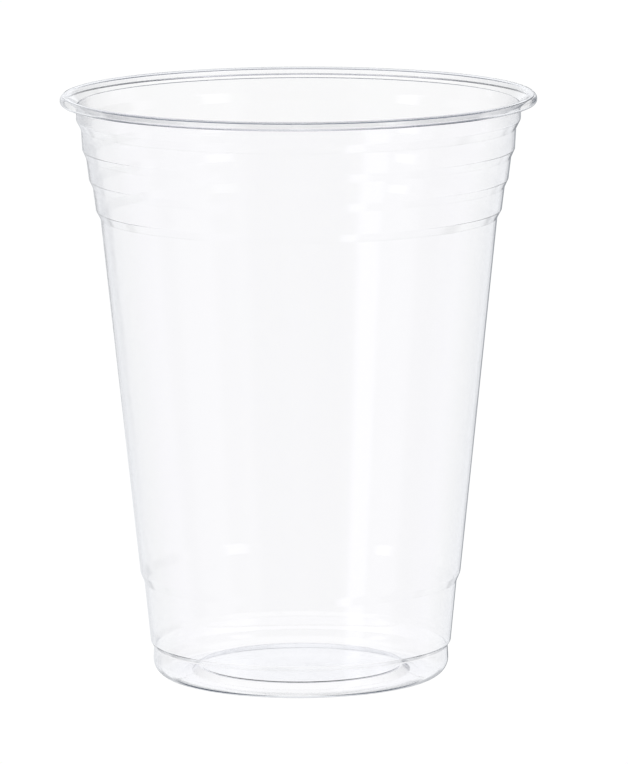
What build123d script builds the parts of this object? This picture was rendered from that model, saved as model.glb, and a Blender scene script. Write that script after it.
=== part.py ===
from build123d import *
import math
import os

# Clear disposable drinking cup, formed from one plastic sheet.
# Millimetres. +Z up, origin on the axis at the plane the cup stands on.
# The cup is one thin sheet of even thickness turned about Z: a raised base
# panel, a standing ring, a short foot, a lower band, a long tapered body,
# three stepped stacking rings, a neck, and a lip: the same sheet flared out,
# carried over a rounded crown and turned down to a small inward hook.

# ---- driving dimensions -------------------------------------------------
WALL = 0.35            # sheet thickness
LIP_R = 49.0           # outside radius of the lip (98 mm across)

PANEL_Z = 1.75         # underside of the raised base panel
PANEL_R = 20.9         # radius where the panel turns down
RING_IN_R = 22.5       # foot of the slope down from the panel
RING_IN_Z = 0.40
STAND_IN_R = 24.6      # inner edge of the flat standing ring
FOOT_R = 30.75         # foot wall at the bottom
FOOT_CORNER = 3.30     # round between standing ring and foot wall
FOOT_TOP_R = 30.45
FOOT_TOP_Z = 6.10
BAND_LOW_R = 31.10     # lower band, just above the foot
BAND_LOW_Z = 7.00
BAND_TOP_R = 32.35
BAND_TOP_Z = 19.60
BODY_LOW_R = 33.15     # tapered body
BODY_LOW_Z = 21.50
BODY_TOP_R = 40.83
BODY_TOP_Z = 95.45

RING3_LOW = (41.76, 97.20)    # lowest stacking ring, bottom and top of its wall
RING3_TOP = (42.35, 101.85)
RING2_LOW = (43.13, 103.55)   # middle stacking ring
RING2_TOP = (43.69, 108.00)
RING1_LOW = (44.46, 109.72)   # top stacking ring
RING1_TOP = (44.71, 113.97)
NECK_LOW = (45.68, 115.85)    # neck under the lip
NECK_R = 45.70

# the lip, on the hidden face of the sheet (underneath and inside the turn)
CREASE_Z = 118.80             # where the neck flares out
CROWN = (47.75, 120.75)       # top of the flare, before rounding
SHOULDER_Z = 120.43           # where the crown meets the outer wall, before rounding
HOOK_TOP_Z = 119.50           # bottom of the outer wall
HOOK_END = (48.05, 119.40)    # the sheet's edge, hooked inwards
EDGE_ROUND = 0.15

# ---- outline of the outer face of the sheet -----------------------------
RING_OUT = 0.40        # round at the foot of each stacking ring
# (radius, height, corner radius on this face)
# The other face lies WALL to the left of the direction of travel.
t = WALL
outer = [
    (0.0, PANEL_Z, None),
    (PANEL_R, PANEL_Z, 0.55),
    (RING_IN_R, RING_IN_Z, 0.50),
    (STAND_IN_R, 0.0, 1.20),
    (FOOT_R, 0.0, FOOT_CORNER),
    (FOOT_TOP_R, FOOT_TOP_Z, 0.35),
    (BAND_LOW_R, BAND_LOW_Z, 0.70),
    (BAND_TOP_R, BAND_TOP_Z, 0.30),
    (BODY_LOW_R, BODY_LOW_Z, 2.60),
    (BODY_TOP_R, BODY_TOP_Z, 0.12),
    (RING3_LOW[0], RING3_LOW[1], RING_OUT),
    (RING3_TOP[0], RING3_TOP[1], 0.12),
    (RING2_LOW[0], RING2_LOW[1], RING_OUT),
    (RING2_TOP[0], RING2_TOP[1], 0.12),
    (RING1_LOW[0], RING1_LOW[1], RING_OUT),
    (RING1_TOP[0], RING1_TOP[1], 0.12),
    (NECK_LOW[0], NECK_LOW[1], 0.90),
    (NECK_R, CREASE_Z, 0.06),
    (CROWN[0], CROWN[1], 1.00),
    (LIP_R - t, SHOULDER_Z, 0.80),
    (LIP_R - t, HOOK_TOP_Z, 0.25),
    (HOOK_END[0], HOOK_END[1], EDGE_ROUND),
]


def left_of(p, q):
    """Unit normal on the left of the straight from p to q."""
    dx, dz = q[0] - p[0], q[1] - p[1]
    n = math.hypot(dx, dz)
    return (-dz / n, dx / n)


def parallel(path, d):
    """The path moved d to its left, with its corner radii to match."""
    out = []
    for i, (x, z, r) in enumerate(path):
        if i == 0:
            n = left_of(path[0], path[1])
            out.append((x + d * n[0], z + d * n[1], None))
        elif i == len(path) - 1:
            n = left_of(path[-2], path[-1])
            out.append((x + d * n[0], z + d * n[1], None))
        else:
            a = left_of(path[i - 1], path[i])
            b = left_of(path[i], path[i + 1])
            k = d / (1.0 + a[0] * b[0] + a[1] * b[1])
            turn_left = a[0] * b[1] - a[1] * b[0] > 0
            rr = r - d if turn_left else r + d
            out.append((x + k * (a[0] + b[0]), z + k * (a[1] + b[1]), rr))
    return out


# the other face of the sheet, from the axis to the hooked edge
inner = parallel(outer, t)
edge = (inner[-1][0], inner[-1][1], EDGE_ROUND)


def rounded(path):
    pts = [(x, 0.0, z) for x, z, r in path]
    radii = [r for x, z, r in path[1:-1]]
    return FilletPolyline(*pts, radius=radii)


loop = rounded(outer + [edge] + inner[:-1][::-1])
axis_cap = Line((0, 0, inner[0][1]), (0, 0, outer[0][1]))
section = make_face(loop.edges() + axis_cap.edges())
cup = revolve(section, axis=Axis.Z, revolution_arc=360)
cup = Solid(cup.solids()[0].wrapped) if len(cup.solids()) == 1 else cup
cup.label = "cup"

os.makedirs("parts", exist_ok=True)
export_step(cup, "parts/cup.step")

box = cup.bounding_box()
print("cup volume mm3", round(cup.volume, 1), "mass g at 1.36 g/cm3", round(cup.volume * 1.36e-3, 2))
print("box", [round(v, 3) for v in (box.min.X, box.min.Y, box.min.Z, box.max.X, box.max.Y, box.max.Z)])
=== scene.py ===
import bpy, math
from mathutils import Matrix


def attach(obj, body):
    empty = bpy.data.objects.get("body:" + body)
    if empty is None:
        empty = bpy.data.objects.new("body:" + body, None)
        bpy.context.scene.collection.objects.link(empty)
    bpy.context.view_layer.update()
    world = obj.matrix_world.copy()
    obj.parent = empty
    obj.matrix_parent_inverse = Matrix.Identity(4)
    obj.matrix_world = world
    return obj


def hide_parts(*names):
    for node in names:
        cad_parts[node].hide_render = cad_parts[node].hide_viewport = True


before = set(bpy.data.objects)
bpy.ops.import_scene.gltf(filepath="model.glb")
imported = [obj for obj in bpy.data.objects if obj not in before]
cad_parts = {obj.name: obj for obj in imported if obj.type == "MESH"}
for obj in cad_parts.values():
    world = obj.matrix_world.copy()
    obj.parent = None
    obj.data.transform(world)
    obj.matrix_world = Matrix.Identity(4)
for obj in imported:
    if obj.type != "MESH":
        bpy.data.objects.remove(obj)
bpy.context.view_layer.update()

# ------------------------------------------------------------------ helpers
def nodes_of(mat_or_world):
    mat_or_world.use_nodes = True
    nt = mat_or_world.node_tree
    nt.nodes.clear()
    return nt


class G:
    """Small helper that builds shader node networks."""

    def __init__(self, nt):
        self.nt = nt

    def node(self, kind, **props):
        n = self.nt.nodes.new(kind)
        for k, v in props.items():
            setattr(n, k, v)
        return n

    def put(self, socket, value):
        if hasattr(value, "is_output"):
            self.nt.links.new(value, socket)
        else:
            socket.default_value = value

    def math(self, op, a, b=0.0, c=0.0, clamp=False):
        n = self.node("ShaderNodeMath", operation=op, use_clamp=clamp)
        self.put(n.inputs[0], a)
        self.put(n.inputs[1], b)
        self.put(n.inputs[2], c)
        return n.outputs[0]

    def add(self, a, b):
        return self.math("ADD", a, b)

    def mul(self, a, b):
        return self.math("MULTIPLY", a, b)

    def step(self, v, lo, hi):
        """Smooth 0 to 1 as v goes from lo to hi (hi may be lower than lo)."""
        n = self.node("ShaderNodeMapRange", interpolation_type="SMOOTHSTEP", clamp=True)
        self.put(n.inputs["Value"], v)
        if lo < hi:
            n.inputs["From Min"].default_value = lo
            n.inputs["From Max"].default_value = hi
            return n.outputs["Result"]
        n.inputs["From Min"].default_value = hi
        n.inputs["From Max"].default_value = lo
        n.inputs["To Min"].default_value = 1.0
        n.inputs["To Max"].default_value = 0.0
        return n.outputs["Result"]

    def band(self, v, a, b, c, d):
        """0 below a, 1 from b to c, 0 above d."""
        return self.mul(self.step(v, a, b), self.step(v, d, c))

    def mix(self, fac, a, b):
        n = self.node("ShaderNodeMix", data_type="FLOAT")
        self.put(n.inputs[0], fac)
        self.put(n.inputs[2], a)
        self.put(n.inputs[3], b)
        return n.outputs[0]

    def mix_rgb(self, fac, a, b):
        n = self.node("ShaderNodeMix", data_type="RGBA")
        self.put(n.inputs[0], fac)
        self.put(n.inputs[6], a)
        self.put(n.inputs[7], b)
        return n.outputs[2]


# ------------------------------------------------------------------ profile
T = 0.35            # sheet, mm
outer = [
    (0.0, 1.75, None),
    (20.9, 1.75, 0.55),
    (22.5, 0.40, 0.50),
    (24.6, 0.0, 1.20),
    (30.75, 0.0, 3.30),
    (30.45, 6.10, 0.35),
    (31.10, 7.00, 0.70),
    (32.35, 19.60, 0.30),
    (33.15, 21.50, 2.60),
    (40.83, 95.45, 0.12),
    (41.76, 97.20, 0.40),
    (42.35, 101.85, 0.12),
    (43.13, 103.55, 0.40),
    (43.69, 108.00, 0.12),
    (44.46, 109.72, 0.40),
    (44.71, 113.97, 0.12),
    (45.68, 115.85, 0.90),
]
# the lip: the same sheet carried outwards over the crown and down to its hooked edge
flange = [
    (45.70, 118.80, 0.06),
    (47.75, 120.75, 1.00),
    (48.65, 120.43, 0.80),
    (48.65, 119.50, 0.25),
    (48.05, 119.40, 0.15),
]


def left_of(p, q):
    dx, dz = q[0] - p[0], q[1] - p[1]
    n = math.hypot(dx, dz)
    return (-dz / n, dx / n)


def parallel(path, d):
    out = []
    for i, (x, z, r) in enumerate(path):
        if i == 0 or i == len(path) - 1:
            n = left_of(path[0], path[1]) if i == 0 else left_of(path[-2], path[-1])
            out.append((x + d * n[0], z + d * n[1], None))
        else:
            a = left_of(path[i - 1], path[i])
            b = left_of(path[i], path[i + 1])
            k = d / (1.0 + a[0] * b[0] + a[1] * b[1])
            left = a[0] * b[1] - a[1] * b[0] > 0
            out.append((x + k * (a[0] + b[0]), z + k * (a[1] + b[1]), r - d if left else r + d))
    return out


def rounded(path, arc_deg=9.0, arc_len=0.22, run=3.0):
    """Points along the path, with each corner replaced by its tangent arc."""
    pts = [(path[0][0], path[0][1])]

    def go(q, longest):
        p = pts[-1]
        d = math.hypot(q[0] - p[0], q[1] - p[1])
        n = max(1, int(math.ceil(d / longest)))
        for k in range(1, n + 1):
            pts.append((p[0] + (q[0] - p[0]) * k / n, p[1] + (q[1] - p[1]) * k / n))

    for i in range(1, len(path) - 1):
        x, z, r = path[i]
        px, pz, _ = path[i - 1]
        qx, qz, _ = path[i + 1]
        d1 = math.hypot(px - x, pz - z)
        d2 = math.hypot(qx - x, qz - z)
        u = ((px - x) / d1, (pz - z) / d1)
        v = ((qx - x) / d2, (qz - z) / d2)
        cosang = max(-1.0, min(1.0, u[0] * v[0] + u[1] * v[1]))
        turn = math.pi - math.acos(cosang)
        tl = r * math.tan(turn / 2)
        a = (x + u[0] * tl, z + u[1] * tl)
        b = (x + v[0] * tl, z + v[1] * tl)
        # centre of the arc
        bis = (u[0] + v[0], u[1] + v[1])
        bl = math.hypot(*bis)
        cd = r / math.cos(turn / 2)
        c = (x + bis[0] / bl * cd, z + bis[1] / bl * cd)
        go(a, run)
        n = max(2, int(math.ceil(math.degrees(turn) / arc_deg)), int(math.ceil(turn * r / arc_len)) if r > 1.0 else 2)
        n = min(n, 14)
        a0 = math.atan2(a[1] - c[1], a[0] - c[0])
        a1 = math.atan2(b[1] - c[1], b[0] - c[0])
        da = (a1 - a0 + math.pi) % (2 * math.pi) - math.pi
        for k in range(1, n + 1):
            t = a0 + da * k / n
            pts.append((c[0] + r * math.cos(t), c[1] + r * math.sin(t)))
    go((path[-1][0], path[-1][1]), run)
    # drop doubled points
    out = [pts[0]]
    for p in pts[1:]:
        if math.hypot(p[0] - out[-1][0], p[1] - out[-1][1]) > 1e-4:
            out.append(p)
    return out


inner = parallel(outer + flange, T)
edge = (inner[-1][0], inner[-1][1], 0.15)
profile = rounded(outer + flange + [edge] + inner[:-1][::-1])      # closed but for the axis
SEG = 288
print("profile points", len(profile), "tris", len(profile) * SEG * 2)


def build_cup():
    verts, faces = [], []
    m = len(profile)
    pole_out = 0
    verts.append((0.0, 0.0, profile[0][1] * 1e-3))
    verts.append((0.0, 0.0, profile[-1][1] * 1e-3))
    ring0 = len(verts)
    rows = profile[1:-1]
    for j in range(SEG):
        a = 2 * math.pi * j / SEG
        ca, sa = math.cos(a), math.sin(a)
        for r, z in rows:
            verts.append((r * ca * 1e-3, r * sa * 1e-3, z * 1e-3))
    k = len(rows)
    for j in range(SEG):
        j2 = (j + 1) % SEG
        a0, b0 = ring0 + j * k, ring0 + j2 * k
        faces.append((0, b0, a0))
        for i in range(k - 1):
            faces.append((a0 + i, b0 + i, b0 + i + 1, a0 + i + 1))
        faces.append((1, a0 + k - 1, b0 + k - 1))
    me = bpy.data.meshes.new("cup_sheet")
    me.from_pydata(verts, [], faces)
    me.validate()
    for p in me.polygons:
        p.use_smooth = True
    me.update()
    return me


me = build_cup()
cup = bpy.data.objects.new("cup_sheet", me)
bpy.context.scene.collection.objects.link(cup)
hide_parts("cup")
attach(cup, "root")

# ------------------------------------------------------------------ material
# Clear formed sheet: smooth, with the slight unevenness left by forming.
mat = bpy.data.materials.new("clear_plastic")
nt = nodes_of(mat)
g = G(nt)
out = g.node("ShaderNodeOutputMaterial")
bsdf = g.node("ShaderNodeBsdfPrincipled")
bsdf.inputs["Base Color"].default_value = (1, 1, 1, 1)
bsdf.inputs["Metallic"].default_value = 0.0
bsdf.inputs["IOR"].default_value = 1.575
bsdf.inputs["Transmission Weight"].default_value = 1.0
tc = g.node("ShaderNodeTexCoord")
obj = tc.outputs["Object"]


def noise(scale, detail, stretch=(1.0, 1.0, 1.0)):
    m = g.node("ShaderNodeMapping")
    nt.links.new(obj, m.inputs["Vector"])
    m.inputs["Scale"].default_value = stretch
    n = g.node("ShaderNodeTexNoise")
    nt.links.new(m.outputs[0], n.inputs["Vector"])
    n.inputs["Scale"].default_value = scale
    n.inputs["Detail"].default_value = detail
    return n.outputs["Fac"]


haze = noise(70.0, 3.0)
rough = g.node("ShaderNodeMapRange")
g.put(rough.inputs["Value"], haze)
rough.inputs["From Min"].default_value = 0.35
rough.inputs["From Max"].default_value = 0.70
rough.inputs["To Min"].default_value = 0.010
rough.inputs["To Max"].default_value = 0.035
nt.links.new(rough.outputs["Result"], bsdf.inputs["Roughness"])
# broad drawing waves down the wall, and a finer ripple
wave = noise(55.0, 1.0, (1.0, 1.0, 0.25))
ripple = noise(260.0, 1.0, (1.0, 1.0, 0.6))
b1 = g.node("ShaderNodeBump")
b1.inputs["Strength"].default_value = 1.0
b1.inputs["Distance"].default_value = 0.00004
g.put(b1.inputs["Height"], wave)
b2 = g.node("ShaderNodeBump")
b2.inputs["Strength"].default_value = 1.0
b2.inputs["Distance"].default_value = 0.000004
g.put(b2.inputs["Height"], ripple)
nt.links.new(b1.outputs[0], b2.inputs["Normal"])
nt.links.new(b2.outputs[0], bsdf.inputs["Normal"])
nt.links.new(bsdf.outputs[0], out.inputs["Surface"])
me.materials.append(mat)

# ------------------------------------------------------------------ stage
floor_me = bpy.data.meshes.new("floor")
S = 60.0
floor_me.from_pydata([(-S, -S, 0), (S, -S, 0), (S, S, 0), (-S, S, 0)], [], [(0, 1, 2, 3)])
floor = bpy.data.objects.new("floor", floor_me)
floor.location.z = -0.0002
bpy.context.scene.collection.objects.link(floor)
fm = bpy.data.materials.new("pale_floor")
nt = nodes_of(fm)
g = G(nt)
out = g.node("ShaderNodeOutputMaterial")
em = g.node("ShaderNodeEmission")
em.inputs["Color"].default_value = (1, 1, 1, 1)
em.inputs["Strength"].default_value = 1.02
tr = g.node("ShaderNodeBsdfTransparent")
lp = g.node("ShaderNodeLightPath")
mx = g.node("ShaderNodeMixShader")
g.put(mx.inputs[0], g.math("GREATER_THAN", lp.outputs["Glossy Depth"], 0.5))
nt.links.new(em.outputs[0], mx.inputs[1])
nt.links.new(tr.outputs[0], mx.inputs[2])
nt.links.new(mx.outputs[0], out.inputs["Surface"])
floor_me.materials.append(fm)

# ------------------------------------------------------------------ studio
# A white room with soft panels and dark flags round the cup.  The panels are
# seen only as reflections; light that has passed straight through the sheet
# sees the white sweep, with a dark strip standing just above its far edge.
ROOM = 0.84
# name, from, to (degrees round, 0 at the viewer, + to the right), softness of
# each side, from, to (degrees up), softness, level
PANELS = [
    ("ceiling",        None, None, 0, 0,    46, 95, 8, 0.80),
    ("floor",          None, None, 0, 0,   -95, -66, 6, 0.88),
    ("left far wall",  -160, -116, 8, 20,  -60, -8, 5, 0.97),
    ("left wall",      -118, -77, 20, 8,   -60, -8, 5, 0.91),
    ("left box",        -78, -50, 7, 12,   -60, -8, 5, 1.01),
    ("left soft",       -50, -28, 12, 16,  -60, -8, 5, 0.88),
    ("viewer",          -28, 33, 16, 6,    -60, -8, 5, 0.87),
    ("key",              35, 50, 7, 8,     -60, -8, 5, 1.37),
    ("right box",        50, 75, 6, 8,     -60, -8, 5, 1.03),
    ("right wall",       75, 104, 8, 10,   -60, -8, 5, 0.87),
    ("right far wall",  104, 158, 10, 8,   -60, -8, 5, 0.97),
    ("left far high",  -160, -96, 10, 20,   -8, 46, 5, 0.62),
    ("left high",       -98, -34, 20, 14,   -8, 46, 5, 0.39),
    ("viewer high",     -36, 36, 20, 20,    -8, 46, 5, 0.25),
    ("right high",       34, 98, 14, 20,    -8, 46, 5, 0.39),
    ("right far high",   96, 165, 20, 10,   -8, 46, 5, 0.62),
    ("right flag",      113, 172, 22, 6,   -62, -35, 6, 0.05),
    ("right back flag", 149, 173, 6, 4,    -34, -19, 4, 0.58),
    ("right back low",  166, 181, 4, 3,    -19, -7, 3, 0.35),
    ("right flag high", 106, 150, 8, 6,      4, 26, 3, 0.30),
    ("right back high", 149, 166, 5, 4,     -6, 9, 4, 0.12),
    ("right tip",       165, 181, 3, 4,     -7, 1, 3, 0.40),
    ("left flag",      -172, -130, 6, 16,  -58, -30, 5, 0.05),
    ("left back flag", -170, -150, 4, 6,   -30, -19, 4, 0.60),
    ("back low",        177, 184, 3, 3,    -12, 1, 3, 0.45),
    ("back",            168, 194, 6, 6,      1, 34, 3, 1.03),
    ("under left",     -150, -20, 14, 14,  -95, -72, 5, 0.50),
    ("under right",      96, 165, 10, 8,   -95, -66, 5, 0.35),
    ("lamp left",       -75, -62, 8, 8,     12, 42, 14, 1.05),
    ("lamp right",       42, 60, 9, 9,      12, 42, 14, 1.05),
]
TINT = (0.980, 0.965, 1.085)
TINT_FAR = (0.972, 0.988, 1.022)
NAVY = (0.0, 0.02, 0.06)
STRIP = (1.5, 4.0, 21.0, 24.0)     # the dark strip, degrees up
STRIP_LEVEL = (0.02, 0.05, 0.11)

world = bpy.data.worlds.new("studio")
bpy.context.scene.world = world
nt = nodes_of(world)
g = G(nt)
out = g.node("ShaderNodeOutputWorld")
bg = g.node("ShaderNodeBackground")
tc = g.node("ShaderNodeTexCoord")
sep = g.node("ShaderNodeSeparateXYZ")
nt.links.new(tc.outputs["Generated"], sep.inputs[0])
X, Y, Z = sep.outputs
az = g.mul(g.math("ARCTAN2", X, g.mul(Y, -1.0)), 180 / math.pi)       # 0 towards -Y, + towards +X
el = g.mul(g.math("ARCSINE", Z), 180 / math.pi)

L = ROOM
for name, a0, a1, s0, s1, e0, e1, es, lev in PANELS:
    mask = None
    if a0 is not None:
        h = (a1 - a0) / 2
        v = g.math("WRAP", g.math("SUBTRACT", az, (a0 + a1) / 2), 180.0, -180.0)
        mask = g.band(v, -h - s0 / 2, -h + s0 / 2, h - s1 / 2, h + s1 / 2)
    if e0 > -90:
        m = g.step(el, e0 - es / 2, e0 + es / 2)
        mask = m if mask is None else g.mul(mask, m)
    if e1 < 90:
        m = g.step(el, e1 + es / 2, e1 - es / 2)
        mask = m if mask is None else g.mul(mask, m)
    L = g.mix(mask, L, lev)
# the near panels are a shade bluer than the far ones, the ceiling and the ground
far = g.math("MAXIMUM", g.step(g.math("ABSOLUTE", az), 96.0, 132.0),
             g.math("MAXIMUM", g.step(el, 30.0, 46.0), g.step(el, -58.0, -70.0)))
# and the dark flags are navy rather than black
dim = g.math("POWER", g.math("SUBTRACT", 1.0, L, clamp=True), 2.0)
tint = g.node("ShaderNodeCombineXYZ")
for k in range(3):
    lit = g.mul(L, g.mix(far, TINT[k], TINT_FAR[k]))
    g.put(tint.inputs[k], g.add(lit, g.mul(dim, NAVY[k])))
lp = g.node("ShaderNodeLightPath")
strip = g.band(el, *STRIP)
strip = g.mul(strip, g.math("SUBTRACT", 1.0, lp.outputs["Is Camera Ray"]))
sweep = g.mix_rgb(strip, (1.02, 1.02, 1.02, 1), STRIP_LEVEL + (1.0,))
seen = g.math("GREATER_THAN", lp.outputs["Glossy Depth"], 0.5)
col = g.mix_rgb(seen, sweep, tint.outputs[0])
nt.links.new(col, bg.inputs["Color"])
bg.inputs["Strength"].default_value = 1.0
nt.links.new(bg.outputs[0], out.inputs["Surface"])

# ------------------------------------------------------------------ camera
from mathutils import Matrix
cam_data = bpy.data.cameras.new("camera")
cam_data.sensor_width = 36.0
cam_data.sensor_fit = "AUTO"
cam_data.lens = 353.0
cam_data.clip_start = 0.05
cam_data.clip_end = 200.0
cam = bpy.data.objects.new("camera", cam_data)
bpy.context.scene.collection.objects.link(cam)
PITCH, ROLL, YAW = 8.992, 0.239, 0.1106
cam.matrix_world = (
    Matrix.Translation((0.0, -1.5283, 0.3028))
    @ Matrix.Rotation(math.radians(-YAW), 4, "Z")
    @ Matrix.Rotation(math.radians(90.0 - PITCH), 4, "X")
    @ Matrix.Rotation(math.radians(-ROLL), 4, "Z")
)
bpy.context.scene.camera = cam

sc = bpy.context.scene
sc.view_settings.view_transform = "Standard"
sc.view_settings.look = "None"
sc.cycles.max_bounces = 32
sc.cycles.transmission_bounces = 32
sc.cycles.glossy_bounces = 32
sc.cycles.transparent_max_bounces = 32
